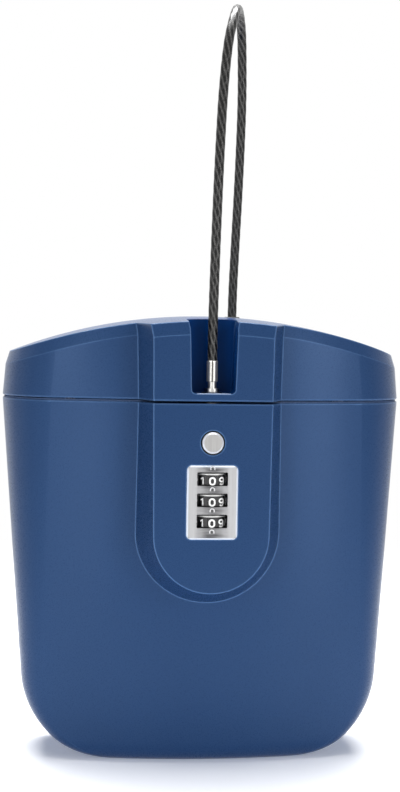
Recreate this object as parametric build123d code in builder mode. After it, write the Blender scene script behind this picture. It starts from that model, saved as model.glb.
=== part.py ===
from build123d import *
from math import atan2, cos, pi, radians, sin, sqrt, tan
import os

os.makedirs("parts", exist_ok=True)

# Portable beach safe, in millimetres. +Z is up, -Y is the front, and the origin is the middle of the base.

# Driving dimensions of the case and lid
case_height = 154.0
seam_gap = 0.8
half_width = 86.8
half_depth = 41.4
front_arc_radius = 210.0
corner_radius = 30.0
base_corner_radius = 8.0
side_draft = 4.4
face_draft = 3.0
side_round = 37.6
face_round = 8.6
wall_start = 50.0
wall = 3.0
rim_edge_round = 0.6

lid_rise = 35.6
lid_side_draft = 4.8
lid_face_draft = 1.5
arch_radius = 225.0
crown_radius = 576.0
lid_band_drop = 5.0
lid_band_inset = 1.4
lid_loft_rise = 42.0

# Raised U panel on the front
panel_front = -53.0
panel_arc_radius = 24.0
panel_side_lean = 0.7
panel_arc_below_seam = 54.9
panel_reach = 18.5
panel_side_slope = 20.7
panel_skin = 2.5
panel_core_radius = 21.3
panel_core_end = -30.0
panel_band_drop = 5.3
panel_band_inset = 2.4

# Notch in the lid for the cable
notch_floor_rise = 3.6
notch_half_bottom = 9.0
notch_half_top = 9.8
notch_half_mouth = 11.0
notch_mouth_depth = 5.2
notch_back = -39.5
notch_corner = 1.8
notch_wall = 2.2
notch_floor = 2.0

# Lock stack, all centred on X = 0
plug_y = -45.5
dial_y = -46.3
dial_pitch = 8.7
dial_below_seam = 40.1
dial_radius = 6.7
dial_height = 5.0
dial_marks = 10
dial_neck_radius = 6.0
dial_shoulder_drop = 1.0
dial_bead_reach = 6.1
dial_bead_radius = 0.45
dial_bead_drop = 0.65
window_width = 12.7
window_height = 5.6
plate_width = 21.1
plate_height = 30.5
plate_below_seam = 41.1
plate_thickness = 1.6
plate_proud = 0.6
plate_corner = 2.1
plate_rim = 0.45
button_below_seam = 16.6
button_radius = 4.4
button_hole_radius = 5.05
button_travel = 3.0
housing_front = -50.3
housing_back = -35.2
housing_half_width = 13.2
cover_thickness = 2.0
cover_half_width = 19.5

# Cable
cable_radius = 2.05
cable_exit_x = 16.5
cable_exit_y = 27.3

# Rear hinge
hinge_y = half_depth + 3.8
hinge_pin_radius = 1.5
knuckle_radius = 3.4

# Heights worked out from the driving dimensions
seam = case_height + seam_gap / 2
lid_base = case_height + seam_gap
crest = seam + lid_rise
ledge = seam + notch_floor_rise
dial_z = seam - dial_below_seam
plate_z = seam - plate_below_seam
button_z = seam - button_below_seam
panel_arc_z = seam - panel_arc_below_seam
panel_core_top = case_height - 7
housing_low = dial_z - 21
running_gap = 0.05


def save(piece, name):
    """Labels one finished piece and writes its STEP file."""
    piece.label = name
    export_step(piece, f"parts/{name}.step")


def case_half_size(height, line_half, draft, rounding, inset):
    """Half size of the case at a height, for a drafted wall that meets the base in an arc."""
    slope = radians(draft)
    at_centre = line_half - (case_height - rounding) * tan(slope)
    arc_centre = at_centre - rounding / cos(slope)
    arc_radius = rounding - inset
    if height < rounding - arc_radius * sin(slope):
        return arc_centre + sqrt(max(arc_radius**2 - (rounding - height) ** 2, 0))
    return line_half - (case_height - height) * tan(slope) - inset / cos(slope)


def body_section(height, half_x, half_y, corner, arc):
    """Plan outline at a height: bowed front and back, round corners, short straight sides."""
    centre_x = half_x - corner
    arc_centre_y = half_y - arc
    centre_y = arc_centre_y + sqrt((arc - corner) ** 2 - centre_x**2)
    turn = atan2(centre_y - arc_centre_y, centre_x)
    join = (centre_x + corner * cos(turn), centre_y + corner * sin(turn))
    middle = (centre_x + corner * cos(turn / 2), centre_y + corner * sin(turn / 2))
    with BuildSketch(Plane.XY.offset(height)) as section:
        with BuildLine():
            for side in (1, -1):
                ThreePointArc((-join[0], side * join[1]), (0, side * half_y), (join[0], side * join[1]))
                Line((side * half_x, centre_y), (side * half_x, -centre_y))
                for end in (1, -1):
                    ThreePointArc(
                        (side * join[0], end * join[1]),
                        (side * middle[0], end * middle[1]),
                        (side * half_x, end * centre_y),
                    )
        make_face()
    return section.sketch


def case_section(height, inset):
    """Plan outline of the case at a height, offset inwards."""
    half_x = case_half_size(height, half_width, side_draft, side_round, inset)
    half_y = case_half_size(height, half_depth, face_draft, face_round, inset)
    corner = base_corner_radius + (corner_radius - base_corner_radius) * height / case_height
    return body_section(height, half_x, half_y, corner - inset, front_arc_radius - inset)


def case_body(inset, top):
    """Solid of the case offset inwards: a base that turns up in two arcs and a drafted wall above it."""
    face_arc = face_round - inset
    side_arc = side_round - inset
    heights = [face_round - face_arc * cos(radians(turn)) for turn in (0, 15, 30, 45, 60, 75, 90)]
    heights += [side_round - side_arc * cos(radians(turn)) for turn in (45, 51, 58, 65, 72, 79, 90 - side_draft)]
    heights += [37, 44, wall_start]
    with BuildPart(mode=Mode.PRIVATE) as body:
        loft(sections=[case_section(height, inset) for height in heights])
        loft(sections=[case_section(wall_start, inset), case_section(top, inset)], ruled=True)
    return body.part


def lid_section(height, inset):
    """Plan outline of the lid at a height, offset inwards."""
    rise = height - lid_base
    half_x = half_width - rise * tan(radians(lid_side_draft)) - inset
    half_y = half_depth - rise * tan(radians(lid_face_draft)) - inset
    return body_section(height, half_x, half_y, corner_radius - inset, front_arc_radius - inset)


def lid_top_barrel(inset):
    """Solid barrel lying along Y, whose skin is the crowned arch of the lid's top."""
    reach = 70.0
    axis_z = crest - arch_radius
    skin = arch_radius - inset
    crown = crown_radius - inset
    end_skin = skin - crown + sqrt(crown**2 - reach**2)
    with BuildPart(mode=Mode.PRIVATE) as barrel:
        with BuildSketch(Plane.YZ):
            with BuildLine():
                Line((-reach, axis_z), (-reach, axis_z + end_skin))
                ThreePointArc((-reach, axis_z + end_skin), (0, axis_z + skin), (reach, axis_z + end_skin))
                Line((reach, axis_z + end_skin), (reach, axis_z))
                Line((reach, axis_z), (-reach, axis_z))
            make_face()
        revolve(axis=Axis((0, 0, axis_z), (0, 1, 0)), revolution_arc=360)
    return barrel.part


def panel_block(radius, front, reach, slope, bottom, top):
    """U-shaped block on the front, from its face towards the wall, with sloped or straight sides."""
    face = Plane(origin=(0, front, 0), x_dir=(-1, 0, 0), z_dir=(0, 1, 0))
    lean = radians(panel_side_lean)
    join_x = radius * cos(lean)
    join_z = panel_arc_z - radius * sin(lean)
    top_x = join_x + (top - join_z) * tan(lean)
    with BuildPart(mode=Mode.PRIVATE) as block:
        with BuildSketch(face):
            with BuildLine():
                Line((-top_x, top), (-join_x, join_z))
                ThreePointArc((-join_x, join_z), (0, panel_arc_z - radius), (join_x, join_z))
                Line((join_x, join_z), (top_x, top))
                Line((top_x, top), (-top_x, top))
            make_face()
        extrude(amount=reach, taper=-slope)
        with BuildSketch(Plane.XY.offset(bottom)):
            Rectangle(4 * top_x, -4 * front)
        extrude(amount=top - bottom, mode=Mode.INTERSECT)
    return block.part


def upright_box(x_range, y_range, z_range):
    """Box between two values on each axis."""
    size = [high - low for low, high in (x_range, y_range, z_range)]
    centre = [(high + low) / 2 for low, high in (x_range, y_range, z_range)]
    return Pos(*centre) * Box(*size, mode=Mode.PRIVATE)


def upright_rod(x, y, radius, low, high):
    """Rod along Z."""
    return Pos(x, y, (low + high) / 2) * Cylinder(radius, high - low, mode=Mode.PRIVATE)


def level_rod(x, z, radius, front, back):
    """Rod along Y."""
    rod = Cylinder(radius, back - front, mode=Mode.PRIVATE)
    return Pos(x, (front + back) / 2, z) * Rot(90, 0, 0) * rod


def cross_rod(y, z, radius, low, high):
    """Rod along X."""
    rod = Cylinder(radius, high - low, mode=Mode.PRIVATE)
    return Pos((low + high) / 2, y, z) * Rot(0, 90, 0) * rod


# Case shell
bevel_top = lid_base + lid_loft_rise
cover_screw_x = 16.5
cover_screw_heights = (case_height - 56, case_height - 6)
cover_boss_radius = 2.9
screw_radius = 1.2
screw_length = 8.0
screw_head_radius = 2.3
screw_head = 1.4
plate_pocket = plate_thickness - plate_proud
lock_opening_half = 7.7
lock_opening_height = 2 * dial_pitch + dial_height + 1.4
knuckle_inner = 14.0
knuckle_outer = 32.0
gusset_drop = 14.0
groove_inset = 0.75
groove_width = 1.5
groove_depth = 1.2
groove_front_half = 15.0

# Lower part of the U panel
with BuildPart() as case_panel:
    add(panel_block(panel_arc_radius, panel_front, panel_reach, panel_side_slope, 0, case_height))
    rim_edges = case_panel.edges().group_by(Axis.Z)[-1]
    fillet(rim_edges.sort_by(Axis.Y)[:-1], rim_edge_round)

# Outside of the case without its panel
with BuildPart() as case_outside:
    add(case_body(0, case_height))
    fillet(case_outside.edges().group_by(Axis.Z)[-1], rim_edge_round)

core_front = panel_front + panel_skin
core_reach = panel_core_end - core_front
slot_half = housing_half_width + 0.3
with BuildPart() as case_shell:
    add(case_outside.part)
    add(case_panel.part)
    add(case_body(wall, case_height + 1), mode=Mode.SUBTRACT)
    add(
        panel_block(panel_core_radius, core_front, core_reach, 0, 0, panel_core_top),
        mode=Mode.SUBTRACT,
    )
    add(
        upright_box((-slot_half, slot_half), (core_front, panel_core_end), (housing_low - 2, case_height + 1)),
        mode=Mode.SUBTRACT,
    )
    for x in (-cover_screw_x, cover_screw_x):
        for z in cover_screw_heights:
            add(level_rod(x, z, cover_boss_radius, core_front - 0.5, housing_back))
            add(level_rod(x, z, screw_radius + running_gap, housing_back - 7, housing_back), mode=Mode.SUBTRACT)
    add(
        upright_box(
            (-lock_opening_half, lock_opening_half),
            (panel_front - 1, core_front + 1),
            (dial_z - lock_opening_height / 2, dial_z + lock_opening_height / 2),
        ),
        mode=Mode.SUBTRACT,
    )
    with BuildSketch(Plane.XZ.offset(-panel_front)):
        with Locations((0, plate_z)):
            RectangleRounded(plate_width + 0.1, plate_height + 0.1, plate_corner)
    extrude(amount=-plate_pocket, mode=Mode.SUBTRACT)
    add(level_rod(0, button_z, button_hole_radius, panel_front - 1, core_front + 1), mode=Mode.SUBTRACT)
    with BuildSketch(Plane.XY.offset(case_height - groove_depth)):
        add(case_section(case_height, groove_inset - running_gap).faces())
        add(case_section(case_height, groove_inset + groove_width + running_gap).faces(), mode=Mode.SUBTRACT)
        with Locations((0, -half_depth)):
            Rectangle(2 * groove_front_half, half_depth, mode=Mode.SUBTRACT)
    extrude(amount=groove_depth + 1, mode=Mode.SUBTRACT)
save(case_shell.part, "case_shell")

# Outer knuckles of the hinge, on the case
for side, ends in (("left", (-knuckle_outer, -knuckle_inner)), ("right", (knuckle_inner, knuckle_outer))):
    with BuildPart() as hinge_base:
        with BuildSketch(Plane.YZ.offset(ends[0])):
            Polygon(
                (hinge_y - 8.0, seam - gusset_drop),
                (hinge_y - 4.2, seam - gusset_drop),
                (hinge_y + knuckle_radius, seam),
                (hinge_y, seam),
                (hinge_y - knuckle_radius - 0.4, seam - 1.0),
                (hinge_y - 8.0, seam - 1.0),
                align=None,
            )
        extrude(amount=ends[1] - ends[0])
        add(cross_rod(hinge_y, seam, knuckle_radius, *ends))
        add(cross_rod(hinge_y, seam, hinge_pin_radius + running_gap / 2, *ends), mode=Mode.SUBTRACT)
        add(case_outside.part, mode=Mode.SUBTRACT)
    save(hinge_base.part, f"hinge_base_{side}")

# Rim gasket
gasket_proud = 0.5
with BuildPart() as rim_gasket:
    with BuildSketch(Plane.XY.offset(case_height - groove_depth)):
        add(case_section(case_height, groove_inset).faces())
        add(case_section(case_height, groove_inset + groove_width).faces(), mode=Mode.SUBTRACT)
        with Locations((0, -half_depth)):
            Rectangle(2 * groove_front_half + 0.2, half_depth, mode=Mode.SUBTRACT)
    extrude(amount=groove_depth + gasket_proud)
save(rim_gasket.part, "rim_gasket")

# Soft pad on the case floor
pad_thickness = 4.0
pad_half_x = 38.0
pad_half_y = 22.0
pad_corner = 8.0
with BuildPart() as base_pad:
    with BuildSketch(Plane.XY.offset(wall + 0.1)):
        RectangleRounded(2 * pad_half_x, 2 * pad_half_y, pad_corner)
    extrude(amount=pad_thickness)
    fillet(base_pad.edges().group_by(Axis.Z)[-1], 1.5)
save(base_pad.part, "base_pad")

# Lock faceplate
plate_front = panel_front - plate_proud
with BuildPart() as lock_faceplate:
    with BuildSketch(Plane.XZ.offset(-plate_front)):
        with Locations((0, plate_z)):
            RectangleRounded(plate_width, plate_height, plate_corner)
        with Locations((0, dial_z)):
            with GridLocations(0, dial_pitch, 1, 3):
                RectangleRounded(window_width, window_height, 0.5, mode=Mode.SUBTRACT)
    extrude(amount=-plate_thickness)
    front_face = lock_faceplate.faces().sort_by(Axis.Y)[0]
    chamfer(front_face.outer_wire().edges(), plate_rim)
save(lock_faceplate.part, "lock_faceplate")

# Three dials, each with the code sleeve inside it
sleeve_radius = 3.4
spindle_radius = 2.0
groove_radius = 0.45
for name, step in (("top", 1), ("middle", 0), ("bottom", -1)):
    dial_low = dial_z + step * dial_pitch - dial_height / 2
    with BuildPart() as dial:
        dial_top = dial_low + dial_height
        shoulder = dial_top - dial_shoulder_drop
        add(upright_rod(0, dial_y, dial_radius, dial_low, shoulder))
        chamfer(dial.edges().filter_by(GeomType.CIRCLE), 0.2)
        add(upright_rod(0, dial_y, dial_neck_radius, dial_low, dial_top))
        bead = Torus(dial_bead_reach, dial_bead_radius, mode=Mode.PRIVATE)
        add(Pos(0, dial_y, dial_top - dial_bead_drop) * bead)
        bore = sleeve_radius + running_gap
        add(upright_rod(0, dial_y, bore, dial_low - 1, dial_top + 1), mode=Mode.SUBTRACT)
        for mark in range(dial_marks):
            turn = radians(-90 + (mark + 0.5) * 360 / dial_marks)
            out = dial_radius + groove_radius / 3
            groove_x = out * cos(turn)
            groove_y = dial_y + out * sin(turn)
            add(upright_rod(groove_x, groove_y, groove_radius, dial_low - 1, shoulder), mode=Mode.SUBTRACT)
    save(dial.part, f"dial_{name}")
    with BuildPart() as sleeve:
        add(upright_rod(0, dial_y, sleeve_radius, dial_low, dial_top))
        sleeve_bore = spindle_radius + running_gap
        add(upright_rod(0, dial_y, sleeve_bore, dial_low - 1, dial_top + 1), mode=Mode.SUBTRACT)
        gate_back = dial_y + sleeve_radius + 0.5
        add(
            upright_box((-0.7, 0.7), (dial_y + 2.7, gate_back), (dial_low - 1, dial_top + 1)),
            mode=Mode.SUBTRACT,
        )
    save(sleeve.part, f"sleeve_{name}")

# Dial spindle
spindle_low = housing_low + 2
spindle_high = dial_z + 15.5
with BuildPart() as dial_spindle:
    add(upright_rod(0, dial_y, spindle_radius, spindle_low, spindle_high))
    chamfer(dial_spindle.edges().filter_by(GeomType.CIRCLE), 0.3)
save(dial_spindle.part, "dial_spindle")

# Lock housing, which drops into the pocket behind the panel
housing_high = case_height - 0.4
socket_low = case_height - 9
socket_radius = 3.9
catch_z = case_height - 4
dial_slot_low = -8.4
dial_slot_high = 10.2
comb_x = 9.5
comb_front = dial_y - 3.2
comb_back = dial_y + 3.2
comb_low = dial_z - dial_pitch - 4.2
comb_high = dial_z + dial_pitch + 4.2
arm_front = -40.6
arm_thickness = 1.2
arm_slot_front = -41.0
spring_shoulder = -44.6
lever_recess = 1.4
with BuildPart() as lock_housing:
    add(
        upright_box(
            (-housing_half_width, housing_half_width),
            (housing_front, housing_back),
            (housing_low, housing_high),
        )
    )
    for step in (-1, 0, 1):
        slot_z = dial_z + step * dial_pitch
        add(
            upright_box(
                (dial_slot_low, dial_slot_high),
                (housing_front - 1, dial_y + dial_radius + 0.5),
                (slot_z - dial_height / 2 - 0.35, slot_z + dial_height / 2 + 0.35),
            ),
            mode=Mode.SUBTRACT,
        )
    add(
        upright_box((comb_x - 0.4, dial_slot_high), (comb_front, comb_back), (comb_low, comb_high)),
        mode=Mode.SUBTRACT,
    )
    add(upright_rod(0, dial_y, spindle_radius + 0.02, housing_low - 1, spindle_high), mode=Mode.SUBTRACT)
    add(
        upright_rod(0, plug_y, socket_radius + running_gap, socket_low - 0.1, housing_high + 1),
        mode=Mode.SUBTRACT,
    )
    cap_depth = button_travel + 0.2
    add(
        level_rod(0, button_z, button_radius + 0.3, housing_front - 1, housing_front + cap_depth),
        mode=Mode.SUBTRACT,
    )
    add(level_rod(0, button_z, 4.1, housing_front, spring_shoulder), mode=Mode.SUBTRACT)
    add(level_rod(0, button_z, 2.6, spring_shoulder - 1, arm_slot_front + 1), mode=Mode.SUBTRACT)
    add(
        upright_box((-3.4, 3.4), (arm_slot_front, housing_back + 1), (button_z - 3.4, housing_high + 1)),
        mode=Mode.SUBTRACT,
    )
    add(
        upright_box((-4.2, 4.2), (housing_front - 1, housing_back + 1), (catch_z - 0.9, catch_z + 0.9)),
        mode=Mode.SUBTRACT,
    )
    add(
        upright_box((-7, 7), (housing_back - lever_recess, housing_back + 1), (dial_z - 3.2, dial_z + 3.2)),
        mode=Mode.SUBTRACT,
    )
save(lock_housing.part, "lock_housing")

# Comb spring that clicks in the dials' grooves
comb_thickness = 0.3
finger_tip = dial_radius + 0.35
with BuildPart() as detent_spring:
    add(
        upright_box(
            (comb_x, comb_x + comb_thickness),
            (comb_front + 0.2, comb_back - 0.2),
            (comb_low + 0.2, comb_high - 0.2),
        )
    )
    for step in (-1, 0, 1):
        finger_z = dial_z + step * dial_pitch
        add(
            upright_box(
                (finger_tip, comb_x + comb_thickness),
                (dial_y - 0.2, dial_y + 0.2),
                (finger_z - 1.5, finger_z + 1.5),
            )
        )
save(detent_spring.part, "detent_spring")

# Socket tube for the pin, slotted where the hairpin reaches in
socket_bore = 3.0
with BuildPart() as socket_tube:
    add(upright_rod(0, plug_y, socket_radius, socket_low, housing_high))
    add(upright_rod(0, plug_y, socket_bore, socket_low - 1, housing_high + 1), mode=Mode.SUBTRACT)
    add(
        upright_box((-2.8, 2.8), (plug_y - 6, plug_y + 6), (catch_z - 0.8, catch_z + 0.8)),
        mode=Mode.SUBTRACT,
    )
save(socket_tube.part, "socket_tube")

# Hairpin catch that grips the neck of the pin
wire_radius = 0.5
leg_x = 1.95
with BuildPart() as catch_spring:
    with BuildLine(Plane.XY.offset(catch_z)) as hairpin:
        FilletPolyline(
            (-2.5, -49.2),
            (-leg_x, -47.4),
            (-leg_x, -41.2),
            (-1.0, -37.7),
            (-1.0, -36.4),
            (1.0, -36.4),
            (1.0, -37.7),
            (leg_x, -41.2),
            (leg_x, -47.4),
            (2.5, -49.2),
            radius=0.9,
        )
    with BuildSketch(Plane(origin=hairpin.line @ 0, z_dir=hairpin.line % 0)):
        Circle(wire_radius)
    sweep()
save(catch_spring.part, "catch_spring")

# Release button with its stem
button_front = panel_front - 0.9
cap_back = -50.6
stem_radius = 2.5
spigot_radius = 1.2
with BuildPart() as release_button:
    add(level_rod(0, button_z, button_radius, button_front, cap_back))
    chamfer(release_button.edges().filter_by(GeomType.CIRCLE).sort_by(Axis.Y)[0], 0.7)
    add(level_rod(0, button_z, stem_radius, cap_back, arm_front))
    add(level_rod(0, button_z, spigot_radius, arm_front, arm_front + arm_thickness + 0.8))
save(release_button.part, "release_button")

# Arm on the stem, with the nose that spreads the hairpin
with BuildPart() as release_arm:
    arm_back = arm_front + arm_thickness
    add(upright_box((-3, 3), (arm_front, arm_back), (button_z - 3, catch_z - 1.4)))
    add(upright_box((-0.8, 0.8), (arm_front, arm_back), (catch_z - 1.5, catch_z + 1.4)))
    add(
        level_rod(0, button_z, spigot_radius + 0.02, arm_front - 1, arm_back + 1),
        mode=Mode.SUBTRACT,
    )
save(release_arm.part, "release_arm")

# Clip that holds the arm on the stem
with BuildPart() as button_clip:
    clip_front = arm_front + arm_thickness
    add(level_rod(0, button_z, 2.2, clip_front, clip_front + 0.5))
    add(level_rod(0, button_z, spigot_radius + 0.02, clip_front - 1, clip_front + 1), mode=Mode.SUBTRACT)
    add(
        upright_box((-0.8, 0.8), (clip_front - 1, clip_front + 1), (button_z - 3, button_z)),
        mode=Mode.SUBTRACT,
    )
save(button_clip.part, "button_clip")

# Coil spring behind the button's cap
coil_radius = 3.3
coil_wire = 0.35
coil_turns = 4.5
coil_length = spring_shoulder - cap_back - 2 * coil_wire
with BuildPart() as button_spring:
    with BuildLine() as coil:
        Helix(
            pitch=coil_length / coil_turns,
            height=coil_length,
            radius=coil_radius,
            center=(0, cap_back + coil_wire, button_z),
            direction=(0, 1, 0),
        )
    with BuildSketch(Plane(origin=coil.line @ 0, z_dir=coil.line % 0)):
        Circle(coil_wire)
    sweep(is_frenet=True)
save(button_spring.part, "button_spring")

# Cover over the back of the lock
cover_low = housing_low - 1
lever_slot_half_x = 3.2
lever_slot_half_z = 1.2
with BuildPart() as lock_cover:
    with BuildSketch(Plane.XZ.offset(-housing_back)):
        with Locations((0, (cover_low + housing_high) / 2)):
            RectangleRounded(2 * cover_half_width, housing_high - cover_low, 3)
        for z in cover_screw_heights:
            with Locations((-cover_screw_x, z), (cover_screw_x, z)):
                Circle(screw_radius + 0.2, mode=Mode.SUBTRACT)
        with Locations((0, dial_z)):
            Rectangle(2 * lever_slot_half_x, 2 * lever_slot_half_z, mode=Mode.SUBTRACT)
    extrude(amount=-cover_thickness)
    back_face = lock_cover.faces().sort_by(Axis.Y)[-1]
    chamfer(back_face.outer_wire().edges(), 0.5)
save(lock_cover.part, "lock_cover")

# Screws of the cover
head_front = housing_back + cover_thickness
with BuildPart() as cover_screws:
    for x in (-cover_screw_x, cover_screw_x):
        for z in cover_screw_heights:
            add(level_rod(x, z, screw_radius, head_front - screw_length, head_front))
            add(level_rod(x, z, screw_head_radius, head_front, head_front + screw_head))
            for wide, tall in ((2.6, 0.6), (0.6, 2.6)):
                add(
                    upright_box(
                        (x - wide / 2, x + wide / 2),
                        (head_front + screw_head - 0.8, head_front + screw_head + 1),
                        (z - tall / 2, z + tall / 2),
                    ),
                    mode=Mode.SUBTRACT,
                )
save(cover_screws.part, "cover_screws")

# Lever that unlocks the dials for a new code
lever_x = -1.5
with BuildPart() as code_lever:
    add(
        upright_box(
            (lever_x - 4, lever_x + 4),
            (housing_back - 1.3, housing_back - 0.3),
            (dial_z - 2.4, dial_z + 2.4),
        )
    )
    add(
        upright_box(
            (lever_x - 1, lever_x + 1),
            (housing_back - 1, housing_back + cover_thickness + 2),
            (dial_z - 0.9, dial_z + 0.9),
        )
    )
save(code_lever.part, "code_lever")

# Hinge pin
with BuildPart() as hinge_pin:
    add(cross_rod(hinge_y, seam, hinge_pin_radius, -knuckle_outer, knuckle_outer))
    add(cross_rod(hinge_y, seam, hinge_pin_radius + 0.8, knuckle_outer, knuckle_outer + 1.0))
save(hinge_pin.part, "hinge_pin")

# Upper part of the U panel, on the lid
outer_barrel = lid_top_barrel(0)
with BuildPart() as lid_panel:
    add(panel_block(panel_arc_radius, panel_front, panel_reach, panel_side_slope, lid_base, bevel_top))
    add(outer_barrel, mode=Mode.INTERSECT)
    panel_face = lid_panel.faces().sort_by(Axis.Y)[0]
    panel_top_edge = panel_face.edges().sort_by(Axis.Z)[-1]
    chamfer(panel_top_edge, panel_band_drop, panel_band_inset, reference=panel_face)
    seam_edges = lid_panel.edges().group_by(Axis.Z)[0]
    fillet(seam_edges.sort_by(Axis.Y)[:-1], rim_edge_round)

# Space inside the lid
with BuildPart() as lid_core:
    loft(sections=[lid_section(lid_base - 1, wall), lid_section(bevel_top, wall)], ruled=True)
    add(lid_top_barrel(wall), mode=Mode.INTERSECT)

# Block that the notch is cut into
with BuildPart() as notch_block:
    block_half = notch_half_top + notch_wall
    add(
        upright_box(
            (-block_half, block_half),
            (panel_front + 4, notch_back + notch_wall),
            (ledge - notch_floor, crest + 5),
        )
    )
    add(outer_barrel, mode=Mode.INTERSECT)

# Outside of the lid without its panel
with BuildPart() as lid_outside:
    loft(sections=[lid_section(lid_base, 0), lid_section(bevel_top, 0)], ruled=True)
    add(outer_barrel, mode=Mode.INTERSECT)
    lid_top = lid_outside.faces().sort_by(Axis.Z)[-1]
    chamfer(lid_top.outer_wire().edges(), lid_band_inset, lid_band_drop, reference=lid_top)
    fillet(lid_outside.edges().group_by(Axis.Z)[0], rim_edge_round)

# Lid shell
liner_screw_x = 58.0
liner_screw_y = 18.0
liner_thickness = 1.3
lid_knuckle_half = knuckle_inner - 0.4
bush_radius = 3.5
exit_boss_radius = 6.0
exit_boss_low = crest - 13.3
grommet_radius = 4.0
grommet_low = crest - 3.9
lid_panel_core_top = crest - 11
with BuildPart() as lid_shell:
    add(lid_outside.part)
    add(lid_panel.part)
    add(lid_core.part, mode=Mode.SUBTRACT)
    add(notch_block.part)
    for side in (-1, 1):
        near, far = sorted((side * (block_half + 1.2), side * panel_core_radius))
        add(
            upright_box((near, far), (core_front, panel_core_end), (lid_base - 1, lid_panel_core_top)),
            mode=Mode.SUBTRACT,
        )
    with BuildSketch(Plane.XZ.offset(-panel_front + 5)) as notch:
        Polygon(
            (-notch_half_bottom, ledge),
            (notch_half_bottom, ledge),
            (notch_half_top, crest - notch_mouth_depth),
            (notch_half_mouth, crest + 0.2),
            (notch_half_mouth, crest + 5),
            (-notch_half_mouth, crest + 5),
            (-notch_half_mouth, crest + 0.2),
            (-notch_half_top, crest - notch_mouth_depth),
            align=None,
        )
        fillet(notch.vertices().group_by(Axis.Y)[0], notch_corner)
    extrude(amount=panel_front - 5 - notch_back, mode=Mode.SUBTRACT)
    add(upright_rod(0, plug_y, bush_radius + running_gap, lid_base - 1, ledge + 0.1), mode=Mode.SUBTRACT)
    for x in (-liner_screw_x, liner_screw_x):
        for y in (-liner_screw_y, liner_screw_y):
            boss_low = lid_base + 0.1 + liner_thickness
            add(upright_rod(x, y, 3.0, boss_low, crest - 9))
            add(upright_rod(x, y, screw_radius + running_gap, boss_low - 1, boss_low + 8), mode=Mode.SUBTRACT)
    add(upright_rod(cable_exit_x, cable_exit_y, exit_boss_radius, exit_boss_low, crest - 3.3))
    add(
        upright_rod(cable_exit_x, cable_exit_y, cable_radius + 0.4, exit_boss_low - 1, crest + 1),
        mode=Mode.SUBTRACT,
    )
    add(
        upright_rod(cable_exit_x, cable_exit_y, grommet_radius + running_gap, grommet_low, crest + 1),
        mode=Mode.SUBTRACT,
    )
save(lid_shell.part, "lid_shell")

# Middle knuckle of the hinge, on the lid
with BuildPart() as hinge_leaf:
    with BuildSketch(Plane.YZ.offset(-lid_knuckle_half)):
        Polygon(
            (hinge_y - 6.0, seam + 12),
            (hinge_y - 4.0, seam + 12),
            (hinge_y + knuckle_radius, seam),
            (hinge_y, seam),
            (hinge_y - 3.4, seam + 0.6),
            (hinge_y - 6.0, seam + 0.6),
            align=None,
        )
    extrude(amount=2 * lid_knuckle_half)
    add(cross_rod(hinge_y, seam, knuckle_radius, -lid_knuckle_half, lid_knuckle_half))
    add(
        cross_rod(hinge_y, seam, hinge_pin_radius + running_gap, -lid_knuckle_half, lid_knuckle_half),
        mode=Mode.SUBTRACT,
    )
    add(lid_outside.part, mode=Mode.SUBTRACT)
save(hinge_leaf.part, "hinge_leaf")

# Liner that closes the lid's underside
liner_low = lid_base + 0.1
with BuildPart() as lid_liner:
    with BuildSketch(Plane.XY.offset(liner_low)):
        add(lid_section(lid_base, wall + 0.3).faces())
        with Locations((0, plug_y)):
            Circle(bush_radius + 0.5, mode=Mode.SUBTRACT)
        with Locations([(x, y) for x in (-liner_screw_x, liner_screw_x) for y in (-liner_screw_y, liner_screw_y)]):
            Circle(screw_radius + 0.2, mode=Mode.SUBTRACT)
    extrude(amount=liner_thickness)
save(lid_liner.part, "lid_liner")

# Screws of the liner
with BuildPart() as liner_screws:
    for x in (-liner_screw_x, liner_screw_x):
        for y in (-liner_screw_y, liner_screw_y):
            add(upright_rod(x, y, screw_radius, liner_low, liner_low + screw_length))
            add(upright_rod(x, y, screw_head_radius, liner_low - screw_head, liner_low))
            for wide, deep in ((2.6, 0.6), (0.6, 2.6)):
                add(
                    upright_box(
                        (x - wide / 2, x + wide / 2),
                        (y - deep / 2, y + deep / 2),
                        (liner_low - screw_head - 1, liner_low - screw_head + 0.8),
                    ),
                    mode=Mode.SUBTRACT,
                )
save(liner_screws.part, "liner_screws")

# Eyelet in the notch floor
bush_bore = 2.5
bush_flange = 0.5
with BuildPart() as ledge_bush:
    add(upright_rod(0, plug_y, bush_radius, lid_base + 0.1, ledge))
    add(upright_rod(0, plug_y, bush_radius + 0.8, ledge, ledge + bush_flange))
    add(upright_rod(0, plug_y, bush_bore, lid_base - 1, ledge + 2), mode=Mode.SUBTRACT)
save(ledge_bush.part, "ledge_bush")

# Turned pin on the cable's front end
collar_low = ledge + bush_flange
collar_high = collar_low + 1.5
waist_high = collar_high + 2.7
ferrule_high = waist_high + 8.7
shank_radius = 2.2
neck_radius = 1.1
neck_half = 1.2
with BuildPart() as plug_pin:
    add(upright_rod(0, plug_y, shank_radius, catch_z + neck_half, collar_low))
    add(upright_rod(0, plug_y, neck_radius, catch_z - neck_half, catch_z + neck_half))
    add(upright_rod(0, plug_y, shank_radius, catch_z - neck_half - 1.9, catch_z - neck_half))
    nose_low = catch_z - neck_half - 3.4
    add(Pos(0, plug_y, nose_low + 0.75) * Cone(1.0, shank_radius, 1.5, mode=Mode.PRIVATE))
    add(upright_rod(0, plug_y, 3.0, collar_low, collar_high))
    add(upright_rod(0, plug_y, 1.8, collar_high, waist_high))
save(plug_pin.part, "plug_pin")

# Crimped sleeve on the cable's front end
ferrule_radius = 2.32
with BuildPart() as plug_ferrule:
    add(upright_rod(0, plug_y, ferrule_radius, waist_high, ferrule_high))
    chamfer(plug_ferrule.edges().filter_by(GeomType.CIRCLE), 0.25)
save(plug_ferrule.part, "plug_ferrule")

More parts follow.
